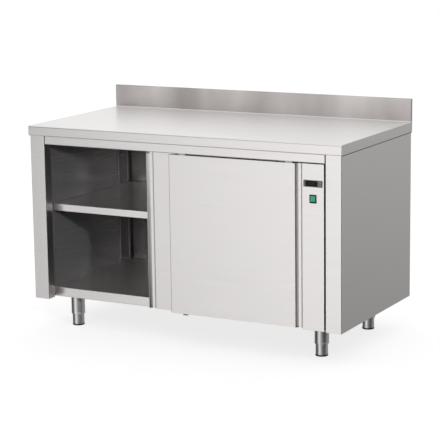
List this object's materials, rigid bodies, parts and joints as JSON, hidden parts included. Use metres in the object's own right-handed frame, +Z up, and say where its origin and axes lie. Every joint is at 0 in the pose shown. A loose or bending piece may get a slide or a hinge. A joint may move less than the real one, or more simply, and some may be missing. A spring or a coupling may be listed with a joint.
{
  "type": "heated plate cupboard",
  "caption": "Long low stainless cupboard with a worktop and rear upstand, overlapping hanging sliding doors with full-height recessed handles, a control strip, a shelf and adjustable legs.",
  "frame": {"origin": "on the floor under the middle of the worktop, at the lower faces of the foot pads", "axes": "+X to the right seen from the front, +Y from the doors to the upstand, +Z up"},
  "size_m": [1.4, 0.7, 0.946],
  "materials": {
    "satin_steel": "satin stainless steel with a fine brushed grain",
    "bright_steel": "bright rolled stainless steel",
    "zinc_steel": "zinc-coated pressed steel",
    "board": "plain pressed wood board",
    "wool": "mineral wool slab",
    "foam": "rigid foam",
    "black_rubber": "matt black rubber",
    "black_plastic": "matt black plastic",
    "roller_nylon": "white nylon",
    "grey_plastic": "fine textured dark grey plastic",
    "button_plastic": "mid grey plastic",
    "window_black": "glossy black window",
    "green_rocker": "translucent green plastic, lit from inside",
    "element_sheath": "heat-tinted metal sheath",
    "motor_grey": "dark grey painted metal",
    "leg_steel": "brushed stainless tube"
  },
  "bodies": {
    "cabinet": {"worktop": "satin_steel", "worktop_board": "board", "worktop_stiffeners": "zinc_steel", "left_side_panel": "satin_steel", "right_side_panel": "satin_steel", "back_panel": "satin_steel", "front_rail": "satin_steel", "bottom_panel": "satin_steel", "floor_pan": "satin_steel", "left_liner": "bright_steel", "back_liner": "bright_steel", "ceiling_liner": "bright_steel", "partition": "bright_steel", "insulation": "wool", "shelf": "satin_steel", "shelf_uprights": "bright_steel", "shelf_supports": "bright_steel", "track_carrier": "zinc_steel", "front_track": "zinc_steel", "rear_track": "zinc_steel", "door_buffers": "black_rubber", "door_guides": "black_plastic", "control_panel": "satin_steel", "thermostat_case": "grey_plastic", "display_window": "window_black", "switch_frame": "black_plastic", "fan_grille": "satin_steel", "heater_box": "zinc_steel", "heating_element": "element_sheath", "fan_motor": "motor_grey", "cable_gland": "black_plastic", "leg_tubes": "leg_steel"},
    "left_door": {"left_door_skin": "satin_steel", "left_door_back": "bright_steel", "left_door_core": "foam", "left_door_hangers": "zinc_steel"},
    "right_door": {"right_door_skin": "satin_steel", "right_door_back": "bright_steel", "right_door_core": "foam", "right_door_hangers": "zinc_steel"},
    "left_roller_a": {"left_door_roller_a": "roller_nylon"},
    "left_roller_b": {"left_door_roller_b": "roller_nylon"},
    "right_roller_a": {"right_door_roller_a": "roller_nylon"},
    "right_roller_b": {"right_door_roller_b": "roller_nylon"},
    "rocker": {"rocker": "green_rocker"},
    "set_button": {"set_button": "button_plastic"},
    "up_button": {"up_button": "button_plastic"},
    "down_button": {"down_button": "button_plastic"},
    "front_left_foot": {"front_left_foot": "leg_steel", "front_left_pad": "black_rubber"},
    "front_right_foot": {"front_right_foot": "leg_steel", "front_right_pad": "black_rubber"},
    "rear_left_foot": {"rear_left_foot": "leg_steel", "rear_left_pad": "black_rubber"},
    "rear_right_foot": {"rear_right_foot": "leg_steel", "rear_right_pad": "black_rubber"},
    "fan": {"fan_impeller": "zinc_steel"}
  },
  "joints": [
    {"name": "left_door_slide", "type": "slide", "parent": "cabinet", "child": "left_door", "axis": [1, 0, 0], "range_m": [-0.452, 0.0635]},
    {"name": "right_door_slide", "type": "slide", "parent": "cabinet", "child": "right_door", "axis": [1, 0, 0], "range_m": [-0.47, 0]},
    {"name": "left_roller_a_spin", "type": "hinge", "parent": "left_door", "child": "left_roller_a", "pos_m": [-0.115, -0.288, 0.7955], "axis": [0, 1, 0], "range_deg": [-2468, 348]},
    {"name": "left_roller_b_spin", "type": "hinge", "parent": "left_door", "child": "left_roller_b", "pos_m": [0.349, -0.288, 0.7955], "axis": [0, 1, 0], "range_deg": [-2468, 348]},
    {"name": "right_roller_a_spin", "type": "hinge", "parent": "right_door", "child": "right_roller_a", "pos_m": [0.006, -0.318, 0.7955], "axis": [0, 1, 0], "range_deg": [-2566, 1]},
    {"name": "right_roller_b_spin", "type": "hinge", "parent": "right_door", "child": "right_roller_b", "pos_m": [0.47, -0.318, 0.7955], "axis": [0, 1, 0], "range_deg": [-2566, 1]},
    {"name": "rocker_tilt", "type": "hinge", "parent": "cabinet", "child": "rocker", "pos_m": [0.5785, -0.336, 0.638], "axis": [1, 0, 0], "range_deg": [0, 14]},
    {"name": "set_button_press", "type": "slide", "parent": "cabinet", "child": "set_button", "axis": [0, 1, 0], "range_m": [0, 0.0008], "stiffness_N_per_m": 400, "springref_m": -0.001},
    {"name": "up_button_press", "type": "slide", "parent": "cabinet", "child": "up_button", "axis": [0, 1, 0], "range_m": [0, 0.0008], "stiffness_N_per_m": 400, "springref_m": -0.001},
    {"name": "down_button_press", "type": "slide", "parent": "cabinet", "child": "down_button", "axis": [0, 1, 0], "range_m": [0, 0.0008], "stiffness_N_per_m": 400, "springref_m": -0.001},
    {"name": "front_left_height", "type": "slide", "parent": "cabinet", "child": "front_left_foot", "axis": [0, 0, -1], "range_m": [0, 0.05]},
    {"name": "front_right_height", "type": "slide", "parent": "cabinet", "child": "front_right_foot", "axis": [0, 0, -1], "range_m": [0, 0.05]},
    {"name": "rear_left_height", "type": "slide", "parent": "cabinet", "child": "rear_left_foot", "axis": [0, 0, -1], "range_m": [0, 0.05]},
    {"name": "rear_right_height", "type": "slide", "parent": "cabinet", "child": "rear_right_foot", "axis": [0, 0, -1], "range_m": [0, 0.05]},
    {"name": "fan_spin", "type": "hinge", "parent": "cabinet", "child": "fan", "pos_m": [0.565, 0.06, 0.335], "axis": [1, 0, 0], "continuous": true}
  ],
  "couplings": [
    {"joint": "left_roller_a_spin", "follows": "left_door_slide", "rad_per_m": 95.238},
    {"joint": "left_roller_b_spin", "follows": "left_door_slide", "rad_per_m": 95.238},
    {"joint": "right_roller_a_spin", "follows": "right_door_slide", "rad_per_m": 95.238},
    {"joint": "right_roller_b_spin", "follows": "right_door_slide", "rad_per_m": 95.238}
  ]
}
